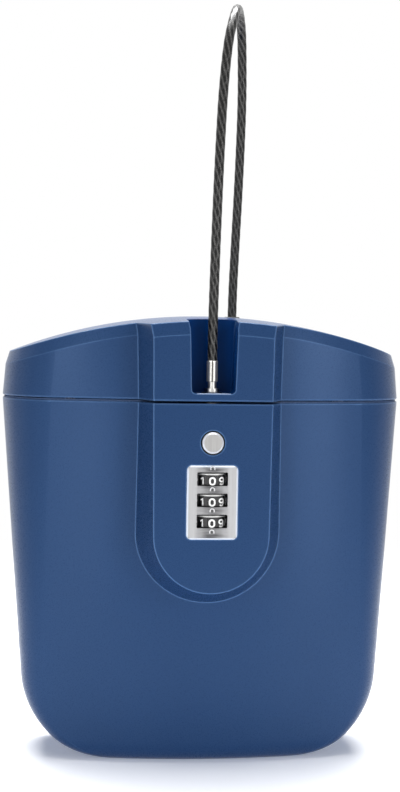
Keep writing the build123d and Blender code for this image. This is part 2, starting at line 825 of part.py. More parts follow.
# Cable: one loop from the front sleeve up and over to the lid's back half
cable_end = exit_boss_low - 7
cable_route = [
    (0.0, plug_y, ferrule_high),
    (0.0, plug_y, 188.0),
    (0.4, plug_y, 207.0),
    (1.0, -44.3, 226.5),
    (1.8, -41.9, 246.0),
    (2.8, -38.6, 265.0),
    (4.0, -34.9, 284.0),
    (6.0, -32.5, 304.8),
    (9.0, -25.9, 316.2),
    (11.8, -14.6, 322.7),
    (14.4, -1.4, 322.7),
    (16.9, 9.9, 316.2),
    (18.1, 16.5, 304.8),
    (18.5, 17.6, 287.0),
    (18.4, 20.4, 267.0),
    (18.1, 23.9, 245.0),
    (17.4, 26.6, 221.0),
    (cable_exit_x, cable_exit_y, 195.0),
    (cable_exit_x, cable_exit_y, cable_end),
]


def bend_radii(points):
    """Radius at each inner point: 0.45 of the shorter run over the tangent of half the turn."""
    radii = []
    for before, here, after in zip(points, points[1:], points[2:]):
        run_in = Vector(*here) - Vector(*before)
        run_out = Vector(*after) - Vector(*here)
        turn = run_in.get_angle(run_out)
        radii.append(0.45 * min(run_in.length, run_out.length) / tan(radians(turn) / 2))
    return radii


cable_radii = bend_radii(cable_route)
with BuildPart() as cable:
    with BuildLine() as cable_path:
        FilletPolyline(*cable_route, radius=cable_radii)
    with BuildSketch(Plane(origin=cable_path.line @ 0, z_dir=cable_path.line % 0)):
        Circle(cable_radius)
    sweep()
save(cable.part, "cable")
print("cable bend radii", [round(radius, 1) for radius in cable_radii])
cable_length = sum(edge.length for edge in cable_path.edges())
cable_tube = cable_length * pi * cable_radius**2
print("cable length", round(cable_length, 1))
print("cable volume over section times length", round(cable.part.volume / cable_tube, 4))

# Crimped stop on the cable's rear end, inside the lid
with BuildPart() as rear_ferrule:
    add(upright_rod(cable_exit_x, cable_exit_y, 3.2, cable_end - 1.5, exit_boss_low - 0.1))
    add(
        upright_rod(cable_exit_x, cable_exit_y, cable_radius + 0.03, cable_end, exit_boss_low + 1),
        mode=Mode.SUBTRACT,
    )
save(rear_ferrule.part, "rear_ferrule")

# Rubber grommet where the cable enters the lid
grommet_high = crest + 0.2
with BuildPart() as cable_grommet:
    add(upright_rod(cable_exit_x, cable_exit_y, grommet_radius, grommet_low, grommet_high))
    chamfer(cable_grommet.edges().group_by(Axis.Z)[-1], 0.8)
    add(
        upright_rod(cable_exit_x, cable_exit_y, cable_radius + 0.1, grommet_low - 1, grommet_high + 1),
        mode=Mode.SUBTRACT,
    )
save(cable_grommet.part, "cable_grommet")
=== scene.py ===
import math

import bpy
from mathutils import Matrix, Vector


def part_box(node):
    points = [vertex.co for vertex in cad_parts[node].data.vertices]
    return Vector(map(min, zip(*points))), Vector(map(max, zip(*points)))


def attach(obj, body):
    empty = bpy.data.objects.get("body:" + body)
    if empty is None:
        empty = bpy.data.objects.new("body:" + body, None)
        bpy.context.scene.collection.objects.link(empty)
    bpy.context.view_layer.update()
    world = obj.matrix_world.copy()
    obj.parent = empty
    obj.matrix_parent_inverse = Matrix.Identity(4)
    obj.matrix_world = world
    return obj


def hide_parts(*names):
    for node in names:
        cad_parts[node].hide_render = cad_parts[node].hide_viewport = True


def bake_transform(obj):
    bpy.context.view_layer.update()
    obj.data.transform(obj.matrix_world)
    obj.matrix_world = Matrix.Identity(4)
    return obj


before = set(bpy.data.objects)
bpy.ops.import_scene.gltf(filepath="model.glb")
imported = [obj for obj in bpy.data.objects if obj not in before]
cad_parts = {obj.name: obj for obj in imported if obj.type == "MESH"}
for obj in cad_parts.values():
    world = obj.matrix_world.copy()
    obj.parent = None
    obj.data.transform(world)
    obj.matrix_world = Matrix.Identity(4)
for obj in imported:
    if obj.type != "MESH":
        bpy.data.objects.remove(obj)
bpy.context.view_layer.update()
MM = 0.001


def box_middle(node, axis):
    """Middle of a CAD node's box along one axis."""
    low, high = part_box(node)
    return (low[axis] + high[axis]) / 2


# Places read from the frame, in metres; WHEELS holds the height of each dial's middle
DIAL_LOW, DIAL_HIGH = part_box("dial_middle")
DIAL_Y = box_middle("dial_middle", 1)
DIAL_RADIUS = (DIAL_HIGH[1] - DIAL_LOW[1]) / 2
DIAL_HEIGHT = DIAL_HIGH[2] - DIAL_LOW[2]
PLATE_LOW, PLATE_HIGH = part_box("lock_faceplate")
PAD_LOW, PAD_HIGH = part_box("base_pad")
BUSH_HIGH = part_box("ledge_bush")[1][2]
WHEELS = {wheel: box_middle(f"dial_{wheel}", 2) for wheel in ("top", "middle", "bottom")}


# Camera at the photograph's viewing angle
def add_camera():
    """Camera left of the middle and above the seam, turned towards the object."""
    place = Vector((-0.0736, -0.7230, 0.1846))
    yaw, pitch, roll = math.radians(5.788), math.radians(2.341), math.radians(0.870)
    focal_px = 1647.4
    frame_height_px = 792
    level = Vector((math.sin(yaw), math.cos(yaw), 0))
    forward = level * math.cos(pitch) - Vector((0, 0, math.sin(pitch)))
    right = Vector((math.cos(yaw), -math.sin(yaw), 0))
    up = right.cross(forward)
    x_axis = right * math.cos(roll) + up * math.sin(roll)
    y_axis = up * math.cos(roll) - right * math.sin(roll)
    turn = Matrix((x_axis, y_axis, -forward)).transposed()
    data = bpy.data.cameras.new("camera")
    data.sensor_fit = "VERTICAL"
    data.sensor_height = 24
    data.lens = focal_px / frame_height_px * data.sensor_height
    data.clip_start = 0.01
    camera = bpy.data.objects.new("camera", data)
    camera.matrix_world = Matrix.Translation(place) @ turn.to_4x4()
    bpy.context.collection.objects.link(camera)
    bpy.context.scene.camera = camera


add_camera()


# Small helpers for meshes and node materials
def add_mesh(name, verts, faces, smooth=True):
    """New object with one mesh, linked to the scene."""
    mesh = bpy.data.meshes.new(name)
    mesh.from_pydata([tuple(v) for v in verts], [], faces)
    mesh.validate()
    for polygon in mesh.polygons:
        polygon.use_smooth = smooth
    piece = bpy.data.objects.new(name, mesh)
    bpy.context.collection.objects.link(piece)
    return piece


def arc(x, y, reach_x, reach_y, start, end, steps=12):
    """Points on an elliptical arc from one angle to another, in degrees."""
    turns = [math.radians(start + (end - start) * i / steps) for i in range(steps + 1)]
    return [(x + reach_x * math.cos(turn), y + reach_y * math.sin(turn)) for turn in turns]


def tube_rings(points, radius_at, sides):
    """Rings of a tube along the points, with a frame that doesn't twist."""
    rings = []
    tangent = (points[1] - points[0]).normalized()
    side = tangent.orthogonal().normalized()
    walked = 0.0
    for i, point in enumerate(points):
        before = points[max(i - 1, 0)]
        after = points[min(i + 1, len(points) - 1)]
        new_tangent = (after - before).normalized()
        side = (tangent.rotation_difference(new_tangent) @ side).normalized()
        tangent = new_tangent
        other = tangent.cross(side)
        if i:
            walked += (point - before).length
        ring = []
        for k in range(sides):
            turn = 2 * math.pi * k / sides
            radius = radius_at(turn, walked)
            ring.append(point + (side * math.cos(turn) + other * math.sin(turn)) * radius)
        rings.append(ring)
    return rings


def add_tube(name, points, radius_at, sides):
    """Closed tube along the points."""
    rings = tube_rings(points, radius_at, sides)
    verts = [v for ring in rings for v in ring]
    faces = []
    for i in range(len(rings) - 1):
        for k in range(sides):
            a = i * sides + k
            b = i * sides + (k + 1) % sides
            faces.append((a, b, b + sides, a + sides))
    last_ring = (len(rings) - 1) * sides
    faces.append(tuple(reversed(range(sides))))
    faces.append(tuple(range(last_ring, last_ring + sides)))
    return add_mesh(name, verts, faces)


def add_ring(name, centre, reach, radius):
    """Ring lying level round a centre."""
    turns, sides = 72, 12
    verts = []
    for i in range(turns):
        turn = 2 * math.pi * i / turns
        outward = Vector((math.cos(turn), math.sin(turn), 0))
        for k in range(sides):
            roll = 2 * math.pi * k / sides
            out = outward * (reach + radius * math.cos(roll))
            verts.append(centre + out + Vector((0, 0, radius * math.sin(roll))))
    faces = []
    for i in range(turns):
        for k in range(sides):
            j, m = (i + 1) % turns, (k + 1) % sides
            faces.append((i * sides + k, j * sides + k, j * sides + m, i * sides + m))
    return add_mesh(name, verts, faces)


class Nodes:
    """Node tree of one material, with short calls for the nodes used here."""

    def __init__(self, name):
        self.material = bpy.data.materials.new(name)
        self.material.use_nodes = True
        self.tree = self.material.node_tree
        self.shader = self.tree.nodes["Principled BSDF"]
        coordinates = self.add("ShaderNodeTexCoord")
        self.place = coordinates.outputs["Object"]
        self.box_place = coordinates.outputs["Generated"]

    def add(self, kind, **inputs):
        """New node with some of its inputs set, an underscore standing for a space."""
        node = self.tree.nodes.new(kind)
        for name, value in inputs.items():
            node.inputs[name.replace("_", " ")].default_value = value
        return node

    def join(self, source, target):
        """Link from one socket to another."""
        self.tree.links.new(source, target)

    def drive(self, source, name):
        """Lets a socket set one of the shader's inputs."""
        self.join(source, self.shader.inputs[name])

    def set(self, **values):
        """Sets the shader's own inputs, an underscore standing for a space."""
        for name, value in values.items():
            self.shader.inputs[name.replace("_", " ")].default_value = value

    def stretched(self, scale):
        """Object coordinates multiplied along each axis."""
        mapping = self.add("ShaderNodeMapping")
        mapping.inputs["Scale"].default_value = scale
        self.join(self.place, mapping.inputs["Vector"])
        return mapping.outputs["Vector"]

    def noise(self, vector, scale, detail, roughness=0.5):
        """Noise from 0 to 1."""
        node = self.add("ShaderNodeTexNoise", Scale=scale, Detail=detail, Roughness=roughness)
        self.join(vector, node.inputs["Vector"])
        return node.outputs["Fac"]

    def tones(self, value, first, second, start=0.3, end=0.7):
        """Colour that goes from one tone to another as the value rises."""
        node = self.add("ShaderNodeValToRGB")
        stops = ((start, first), (end, second))
        for element, (position, colour) in zip(node.color_ramp.elements, stops):
            element.position = position
            element.color = (*colour, 1)
        self.join(value, node.inputs["Fac"])
        return node.outputs["Color"]

    def spread(self, value, low, high, start=0.0, end=1.0):
        """Maps start..end to low..high, and holds the end values outside."""
        limits = {"From_Min": start, "From_Max": end, "To_Min": low, "To_Max": high}
        node = self.add("ShaderNodeMapRange", **limits)
        self.join(value, node.inputs["Value"])
        return node.outputs["Result"]

    def math(self, operation, *values):
        """Result of one operation on numbers and sockets."""
        node = self.add("ShaderNodeMath")
        node.operation = operation
        for socket, value in zip(node.inputs, values):
            if isinstance(value, (int, float)):
                socket.default_value = value
            else:
                self.join(value, socket)
        return node.outputs["Value"]

    def blend(self, factor, base, over):
        """Lays one fixed colour over another colour by a factor."""
        node = self.add("ShaderNodeMix")
        node.data_type = "RGBA"
        # The node has sockets for every data type, and the ones for colour go by number
        factor_number, base_number, over_number, result_number = 0, 6, 7, 2
        self.join(factor, node.inputs[factor_number])
        self.join(base, node.inputs[base_number])
        node.inputs[over_number].default_value = (*over, 1)
        return node.outputs[result_number]

    def axes(self, vector):
        """The three numbers of a vector."""
        split = self.add("ShaderNodeSeparateXYZ")
        self.join(vector, split.inputs["Vector"])
        return split.outputs["X"], split.outputs["Y"], split.outputs["Z"]

    def away(self, place, middle):
        """Distance from a middle, the same on both sides of it."""
        return self.math("ABSOLUTE", self.math("SUBTRACT", place, middle))

    def edges(self, radius):
        """One along the piece's edges, nought on its faces."""
        flat_cosine, edge_cosine = 0.9995, 0.986
        bevel = self.add("ShaderNodeBevel", Radius=radius)
        bevel.samples = 8
        cosine = self.add("ShaderNodeVectorMath")
        cosine.operation = "DOT_PRODUCT"
        self.join(bevel.outputs["Normal"], cosine.inputs[0])
        self.join(self.add("ShaderNodeNewGeometry").outputs["Normal"], cosine.inputs[1])
        return self.spread(cosine.outputs["Value"], 1.0, 0.0, start=edge_cosine, end=flat_cosine)

    def inside(self, low, high, soft):
        """One inside a box of object space, nought outside, with soft sides."""
        mask = 1.0
        for place, start, end in zip(self.axes(self.place), low, high):
            rising = self.spread(place, 0.0, 1.0, start=start - soft, end=start)
            falling = self.spread(place, 1.0, 0.0, start=end, end=end + soft)
            mask = self.math("MULTIPLY", mask, self.math("MULTIPLY", rising, falling))
        return mask

    def bump(self, height, depth, strength, edge_radius=None):
        """Surface relief, and rounded edges where a radius is given."""
        node = self.add("ShaderNodeBump", Strength=strength, Distance=depth)
        self.join(height, node.inputs["Height"])
        if edge_radius:
            bevel = self.add("ShaderNodeBevel", Radius=edge_radius)
            bevel.samples = 6
            self.join(bevel.outputs["Normal"], node.inputs["Normal"])
        self.drive(node.outputs["Normal"], "Normal")

    def brushed(self, stretch, darker, lighter, roughness, scale=900):
        """Fine scratches along the axis with the smallest stretch; gives back their colour."""
        detail, sharpness = 4, 0.65
        depth, strength = 0.006 * MM, 0.5
        scratches = self.noise(self.stretched(stretch), scale, detail, sharpness)
        self.drive(self.spread(scratches, *roughness), "Roughness")
        self.bump(scratches, depth, strength)
        return self.tones(scratches, darker, lighter)


# Materials
def shell_plastic():
    """Moulded navy plastic with a fine satin texture, a painted highlight along the edges and
    painted shade in the notch.
    """
    n = Nodes("shell_plastic")
    navy, paler_navy = (0.0105, 0.034, 0.098), (0.0112, 0.036, 0.103)
    edge_highlight_blue, notch_shade_blue = (0.065, 0.135, 0.28), (0.001, 0.026, 0.120)
    edge_width, rounding, notch_fade = 0.8 * MM, 0.9 * MM, 1.2 * MM
    cloud_scale, grain_scale, detail = 22, 2600, 2
    grain_depth, grain_strength = 0.02 * MM, 0.35
    notch_low = (-9.4 * MM, -50.5 * MM, 157.2 * MM)
    notch_high = (9.4 * MM, -30 * MM, 190 * MM)
    cloud = n.noise(n.place, cloud_scale, detail)
    plain = n.tones(cloud, navy, paler_navy)
    # Deep blue with little specular inside the notch is painted shade in the recess
    notch_shade = n.inside(notch_low, notch_high, soft=notch_fade)
    # Paler blue along the edges is a painted highlight
    edge_highlighted = n.blend(n.edges(edge_width), plain, edge_highlight_blue)
    n.drive(n.blend(notch_shade, edge_highlighted, notch_shade_blue), "Base Color")
    n.drive(n.spread(notch_shade, 0.36, 0.10), "Specular IOR Level")
    grain = n.noise(n.place, grain_scale, detail)
    n.drive(n.spread(grain, 0.24, 0.32), "Roughness")
    n.bump(grain, grain_depth, grain_strength, edge_radius=rounding)
    n.set(Specular_Tint=(0.40, 0.60, 1.0, 1))
    return n.material


def plain_plastic(name, colour, roughness, grain_scale=1800, depth=0.02 * MM):
    """Moulded plastic or rubber with a fine grain."""
    n = Nodes(name)
    cloud_scale, detail = 60, 2
    cloud_shade, roughness_play, strength = 0.85, 0.06, 0.4
    cloud = n.noise(n.place, cloud_scale, detail)
    n.drive(n.tones(cloud, tuple(c * cloud_shade for c in colour), colour), "Base Color")
    grain = n.noise(n.place, grain_scale, detail)
    n.drive(n.spread(grain, roughness - roughness_play, roughness + roughness_play), "Roughness")
    n.bump(grain, depth, strength)
    return n.material


def metal(name, colour, roughness, stretch, scale=900, metallic=1.0):
    """Metal whose scratches run along the axis with the smallest stretch."""
    n = Nodes(name)
    contrast, roughness_play = 0.12, 0.07
    darker = tuple(c * (1 - contrast) for c in colour)
    span = (roughness - roughness_play, roughness + roughness_play)
    n.drive(n.brushed(stretch, darker, colour, span, scale), "Base Color")
    n.set(Metallic=metallic)
    return n.material


def plate_metal():
    """Brushed plate: a painted highlight along its rim, and painted shade towards the windows in
    the middle.
    """
    n = Nodes("plate_brushed")
    grey, paler_grey = (0.31, 0.31, 0.315), (0.38, 0.38, 0.385)
    window_shade_grey, rim_highlight_white = (0.08, 0.08, 0.083), (0.66, 0.72, 0.82)
    width = PLATE_HIGH[0] - PLATE_LOW[0]
    height = PLATE_HIGH[2] - PLATE_LOW[2]
    dark_reach, pale_reach, most_shade = 1.5 * MM, 7.5 * MM, 0.85
    rim_width, rim_fade = 0.4 * MM, 0.8 * MM
    band_scale, band_detail = 900, 2
    brushed = n.brushed((1.0, 1.0, 0.03), grey, paler_grey, (0.33, 0.47))
    across, _, up = n.axes(n.box_place)
    off_x = n.math("MULTIPLY", n.away(across, 0.5), width)
    off_z = n.math("MULTIPLY", n.away(up, 0.5), height)
    # Greyer towards the windows: painted shade
    window_shade = n.spread(off_x, most_shade, 0.0, start=dark_reach, end=pale_reach)
    bands = n.noise(n.stretched((0.15, 1.0, 1.0)), band_scale, band_detail)
    shade_streaks = n.math("MULTIPLY", window_shade, n.spread(bands, 0.7, 1.3, start=0.35, end=0.65))
    toned = n.blend(shade_streaks, brushed, window_shade_grey)
    to_side = n.math("SUBTRACT", width / 2, off_x)
    to_end = n.math("SUBTRACT", height / 2, off_z)
    # The bluish-white, less metallic rim is a painted highlight along the plate's edge
    rim = n.spread(n.math("MINIMUM", to_side, to_end), 1.0, 0.0, start=rim_width, end=rim_fade)
    n.drive(n.blend(rim, toned, rim_highlight_white), "Base Color")
    n.drive(n.spread(rim, 0.85, 0.25), "Metallic")
    return n.material


def button_metal():
    """Satin button whose turned rim round its face is painted bright, a painted highlight."""
    n = Nodes("button_satin")
    grey, paler_grey, rim_highlight_white = (0.29, 0.285, 0.28), (0.35, 0.345, 0.34), (0.62, 0.64, 0.68)
    rim_start, rim_end = 0.40, 0.44
    face = n.brushed((1.0, 1.0, 0.05), grey, paler_grey, (0.3, 0.42))
    across, _, up = n.axes(n.box_place)
    off_x, off_z = n.away(across, 0.5), n.away(up, 0.5)
    squares = n.math("ADD", n.math("MULTIPLY", off_x, off_x), n.math("MULTIPLY", off_z, off_z))
    # The bright bluish-white rim is a painted highlight
    rim = n.spread(n.math("SQRT", squares), 0.0, 1.0, start=rim_start, end=rim_end)
    n.drive(n.blend(rim, face, rim_highlight_white), "Base Color")
    n.drive(n.spread(rim, 0.7, 0.35), "Metallic")
    return n.material


PLUG_GREY = (0.38, 0.375, 0.36)
PLUG_PALER_GREY = (0.50, 0.49, 0.465)


def ferrule_metal():
    """Crimped sleeve with the dark line of its split at the front."""
    n = Nodes("ferrule_crimped")
    split_colour = (0.05, 0.045, 0.04)
    split_place, split_half, split_fade = 0.46, 0.02, 0.09
    bright = n.brushed((1.0, 1.0, 0.1), PLUG_GREY, PLUG_PALER_GREY, (0.24, 0.38))
    across, _, _ = n.axes(n.box_place)
    off = n.away(across, split_place)
    split = n.spread(off, 1.0, 0.0, start=split_half, end=split_fade)
    n.drive(n.blend(split, bright, split_colour), "Base Color")
    n.set(Metallic=0.8)
    return n.material


def pin_metal():
    """Turned pin, with a painted reflection of the dark notch towards its sides."""
    n = Nodes("pin_turned")
    notch_reflection_colour = (0.02, 0.03, 0.06)
    bright_half, dark_half = 1.5 * MM, 2.3 * MM
    bright = n.brushed((1.0, 1.0, 0.1), PLUG_GREY, PLUG_PALER_GREY, (0.24, 0.38))
    across, _, _ = n.axes(n.place)
    off = n.away(across, 0.0)
    # Darker towards the sides: painted reflection of the notch
    sides = n.spread(off, 0.0, 1.0, start=bright_half, end=dark_half)
    n.drive(n.blend(sides, bright, notch_reflection_colour), "Base Color")
    n.set(Metallic=0.85)
    return n.material


def cable_coat():
    """Clear dark coat, with the wires of the strand showing grey under it."""
    n = Nodes("cable_coat")
    gap_black, wire_grey = (0.003, 0.003, 0.003), (0.085, 0.083, 0.08)
    grain_scale, detail = 900, 3
    grain_depth, grain_strength = 0.04 * MM, 0.4
    lay = n.add("ShaderNodeAttribute")
    lay.attribute_name = "lay"
    grain = n.noise(n.place, grain_scale, detail)
    unevenness = n.spread(grain, 0.7, 1.2, start=0.3, end=0.7)
    wires = n.math("MULTIPLY", lay.outputs["Fac"], unevenness)
    n.drive(n.tones(wires, gap_black, wire_grey, start=0.4, end=1.0), "Base Color")
    n.drive(n.spread(grain, 0.22, 0.34), "Roughness")
    n.bump(grain, grain_depth, grain_strength)
    n.set(Specular_IOR_Level=0.22, Coat_Weight=0.05, Coat_Roughness=0.15)
    return n.material


def print_ink(name, colour):
    """Slightly uneven printed ink."""
    n = Nodes(name)
    spot_scale, detail, fading = 4000, 2, 0.9
    spots = n.noise(n.place, spot_scale, detail)
    n.drive(n.tones(spots, tuple(c * fading for c in colour), colour), "Base Color")
    n.drive(n.spread(spots, 0.4, 0.55), "Roughness")
    return n.material


SHELL = shell_plastic()
SEAL = plain_plastic("seal_rubber", (0.020, 0.055, 0.150), 0.6)
DIAL = plain_plastic("dial_plastic", (0.006, 0.006, 0.007), 0.32)
HOUSING = plain_plastic("housing_plastic", (0.018, 0.018, 0.02), 0.5)
LINER = plain_plastic("liner_plastic", (0.020, 0.048, 0.118), 0.5)
RUBBER = plain_plastic("grommet_rubber", (0.012, 0.012, 0.013), 0.65)
PLATE = plate_metal()
FERRULE = ferrule_metal()
BUTTON = button_metal()
STEEL = metal("steel_turned", (0.60, 0.60, 0.60), 0.28, (1.0, 1.0, 0.2))
WIRE = metal("spring_wire", (0.50, 0.51, 0.53), 0.3, (1.0, 1.0, 1.0), scale=1500)
BUSH = metal("bush_dark", (0.035, 0.045, 0.07), 0.35, (1.0, 1.0, 1.0))
PIN = pin_metal()
BRASS = metal("sleeve_brass", (0.70, 0.50, 0.24), 0.3, (1.0, 1.0, 0.2))
COAT = cable_coat()
WHITE_INK = print_ink("digit_ink", (0.97, 0.97, 0.96))
# Pale, half-metallic bead colour: metal, and partly a painted highlight
BEAD_HIGHLIGHT = metal("bead_metal_highlight", (0.58, 0.58, 0.57), 0.45, (1.0, 1.0, 0.3), metallic=0.4)
MARK = metal("mark_metal", (0.60, 0.60, 0.61), 0.4, (1.0, 1.0, 1.0), metallic=0.5)
FOAM = plain_plastic("pad_foam", (0.05, 0.055, 0.062), 0.85, grain_scale=700, depth=0.2 * MM)
# Pale blue of the notch lip is a painted highlight
LIP_HIGHLIGHT = plain_plastic("lip_painted_highlight", (0.20, 0.27, 0.42), 0.25)
DARK_INK = print_ink("index_ink", (0.05, 0.05, 0.05))

CAD_MATERIALS = {
    "case_shell": SHELL,
    "lid_shell": SHELL,
    "hinge_base_left": SHELL,
    "hinge_base_right": SHELL,
    "hinge_leaf": SHELL,
    "rim_gasket": SEAL,
    "lock_faceplate": PLATE,
    "dial_top": DIAL,
    "dial_middle": DIAL,
    "dial_bottom": DIAL,
    "sleeve_top": BRASS,
    "sleeve_middle": BRASS,
    "sleeve_bottom": BRASS,
    "dial_spindle": STEEL,
    "lock_housing": HOUSING,
    "lock_cover": HOUSING,
    "cover_screws": STEEL,
    "detent_spring": WIRE,
    "socket_tube": STEEL,
    "catch_spring": WIRE,
    "button_spring": WIRE,
    "hinge_pin": STEEL,
    "lid_liner": LINER,
    "liner_screws": STEEL,
    "ledge_bush": BUSH,
    "rear_ferrule": STEEL,
    "cable_grommet": RUBBER,
    "plug_pin": PIN,
    "plug_ferrule": FERRULE,
    "release_button": BUTTON,
    "release_arm": STEEL,
    "button_clip": STEEL,
    "code_lever": BRASS,
}
for node_name, material in CAD_MATERIALS.items():
    cad_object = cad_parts[node_name]
    for material_slot in cad_object.material_slots:
        material_slot.material = material


# Cable: one loop from the front sleeve up and over to the lid's back half
CABLE_RADIUS = 2.05 * MM
CABLE_ROUTE = [
    (0.0, -0.0455, 0.1714),
    (0.0, -0.0455, 0.1880),
    (0.0004, -0.0455, 0.2070),
    (0.0010, -0.0443, 0.2265),
    (0.0018, -0.0419, 0.2460),
    (0.0028, -0.0386, 0.2650),
    (0.0040, -0.0349, 0.2840),
    (0.0060, -0.0325, 0.3048),
    (0.0090, -0.0259, 0.3162),
    (0.0118, -0.0146, 0.3227),
    (0.0144, -0.0014, 0.3227),
    (0.0169, 0.0099, 0.3162),
    (0.0181, 0.0165, 0.3048),
    (0.0185, 0.0176, 0.2870),
    (0.0184, 0.0204, 0.2670),
    (0.0181, 0.0239, 0.2450),
    (0.0174, 0.0266, 0.2210),
    (0.0165, 0.0273, 0.1950),
    (0.0165, 0.0273, 0.1697),
]


def spline_points(route, resolution):
    """Points read from one smooth spline with the route's points as its control points."""
    data = bpy.data.curves.new("cable_line", "CURVE")
    data.dimensions = "3D"
    data.resolution_u = resolution
    spline = data.splines.new("NURBS")
    spline.points.add(len(route) - 1)
    for point, place in zip(spline.points, route):
        point.co = (*place, 1)
    spline.order_u = 3
    spline.use_endpoint_u = True
    line = bpy.data.objects.new("cable_line", data)
    bpy.context.collection.objects.link(line)
    mesh = bpy.data.meshes.new_from_object(line)
    points = [v.co.copy() for v in mesh.vertices]
    bpy.data.objects.remove(line)
    return points


def add_cable():
    """The coated strand, whose skin shows the lay of the wires."""
    points = spline_points(CABLE_ROUTE, resolution=48)
    strands = 6
    lay_length = 34 * MM
    groove = 0.08 * MM
    sides = 42
    heights = []

    def radius_at(turn, walked):
        wave = math.cos(strands * (turn + 2 * math.pi * walked / lay_length))
        heights.append(0.5 + 0.5 * wave)
        return CABLE_RADIUS - groove * (0.5 - 0.5 * wave)

    cable = add_tube("cable_strand", points, radius_at, sides)
    cable.data.attributes.new("lay", "FLOAT", "POINT").data.foreach_set("value", heights)
    cable.data.materials.append(COAT)
    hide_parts("cable")
    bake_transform(cable)


add_cable()


# Number dials
def digit_strokes():
    """Middle lines of the digits 0 to 9, in millimetres about the middle of each."""
    half_x, half_z = 1.04, 1.41
    bowl_z = half_z - half_x
    three_upper = 0.74
    nine_eye, nine_tail = 0.8, 0.95
    top_bowl = arc(0, bowl_z, half_x, half_x, 0, 180)
    low_bowl = arc(0, -bowl_z, half_x, half_x, 180, 360)
    zero = top_bowl + low_bowl + [(half_x, bowl_z)]
    one = [(-0.75, half_z - 0.55), (0.2, half_z), (0.2, -half_z)]
    two = arc(0, bowl_z, half_x, half_x, 160, -35) + [(-half_x, -half_z), (half_x, -half_z)]
    upper_z = half_z - three_upper
    three = arc(0, upper_z, 0.9 * half_x, three_upper, 150, -75)
    three += arc(0, -upper_z, half_x, three_upper, 75, -150)
    four = [(0.45, -half_z), (0.45, half_z), (-half_x, -0.5), (half_x, -0.5)]
    five = [(0.85 * half_x, half_z), (-0.75 * half_x, half_z), (-0.85 * half_x, 0.15)]
    five += arc(0, -bowl_z, half_x, half_x, 120, -150)
    seven = [(-half_x, half_z), (half_x, half_z), (-0.2, -half_z)]
    eight = arc(0, upper_z, 0.85 * half_x, 0.94 * three_upper, -90, 270, 20)
    eight += arc(0, -upper_z, half_x, three_upper, 90, 450, 20)
    nine = arc(0, nine_tail - half_z, half_x, nine_tail, 215, 360)
    nine += arc(0, half_z - nine_eye, half_x, nine_eye, 0, 360, 24)
    six = [(-x, -z) for x, z in nine]
    return [zero, one, two, three, four, five, six, seven, eight, nine]


def flat_stroke(points, radius):
    """Rounded stroke along the points, as a mesh."""
    data = bpy.data.curves.new("stroke", "CURVE")
    data.dimensions = "3D"
    data.bevel_depth = radius
    data.bevel_resolution = 2
    data.use_fill_caps = True
    spline = data.splines.new("POLY")
    spline.points.add(len(points) - 1)
    for point, (x, y) in zip(spline.points, points):
        point.co = (x * MM, y * MM, 0, 1)
    line = bpy.data.objects.new("stroke", data)
    bpy.context.collection.objects.link(line)
    mesh = bpy.data.meshes.new_from_object(line)
    bpy.data.objects.remove(line)
    return mesh


def add_digits():
    """Ten printed numbers round each dial, with zero at the front."""
    front, spacing = -90, -36
    stroke_radius = 0.38 * MM
    flatten = 0.08
    lift = 0.06 * MM
    below_middle = 0.92 * MM
    strokes = [flat_stroke(points, stroke_radius) for points in digit_strokes()]
    for wheel, height in WHEELS.items():
        verts = []
        faces = []
        for digit, mesh in enumerate(strokes):
            centre = math.radians(front + spacing * digit)
            start = len(verts)
            for v in mesh.vertices:
                turn = centre + v.co.x / DIAL_RADIUS
                reach = DIAL_RADIUS + lift + v.co.z * flatten
                z = height - below_middle + v.co.y
                verts.append((reach * math.cos(turn), DIAL_Y + reach * math.sin(turn), z))
            faces += [tuple(start + i for i in polygon.vertices) for polygon in mesh.polygons]
        numbers = add_mesh(f"numbers_{wheel}", verts, faces)
        numbers.data.materials.append(WHITE_INK)
        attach(numbers, f"{wheel}_wheel")


add_digits()


def add_dial_beads():
    """Metal bead round the top of each dial, made pale partly as a painted highlight along the
    dial's top edge.
    """
    bead_drop = 0.65 * MM
    bead_reach = 6.12 * MM
    bead_radius = 0.47 * MM
    for wheel, height in WHEELS.items():
        place = Vector((0, DIAL_Y, height + DIAL_HEIGHT / 2 - bead_drop))
        bead = add_ring(f"bead_{wheel}", place, bead_reach, bead_radius)
        bead.data.materials.append(BEAD_HIGHLIGHT)
        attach(bead, f"{wheel}_wheel")


add_dial_beads()


# Small index marks above and below the windows
def add_index_marks():
    """Raised arches with a dark drop inside, above and below each window."""
    arch_radius = 0.85 * MM
    leg = 0.6 * MM
    wire_radius = 0.25 * MM
    wire_sides = 8
    arch_steps = 12
    drop_half_x = 0.45 * MM
    drop_half_z = 1.2 * drop_half_x
    drop_below = 0.1 * MM
    drop_proud = 0.03 * MM
    drop_steps = 16
    pitch = WHEELS["top"] - WHEELS["middle"]
    front = PLATE_LOW[1]
    for number, step in enumerate((1.5, 0.5, -0.5, -1.5)):
        height = WHEELS["middle"] + step * pitch
        top = arc(0, height, arch_radius, arch_radius, 180, 0, arch_steps)
        outline = [(-arch_radius, height - leg), *top, (arch_radius, height - leg)]
        path = [Vector((x, front, z)) for x, z in outline]
        arch = add_tube(f"index_arch_{number}", path, lambda turn, walked: wire_radius, wire_sides)
        arch.data.materials.append(MARK)
        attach(arch, "case")
        rim = arc(0, height - drop_below, drop_half_x, drop_half_z, 0, 360, drop_steps)[:-1]
        verts = [(x, front - drop_proud, z) for x, z in rim]
        dark = add_mesh(f"index_drop_{number}", verts, [tuple(range(drop_steps))], smooth=False)
        dark.data.materials.append(DARK_INK)
        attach(dark, "case")


add_index_marks()


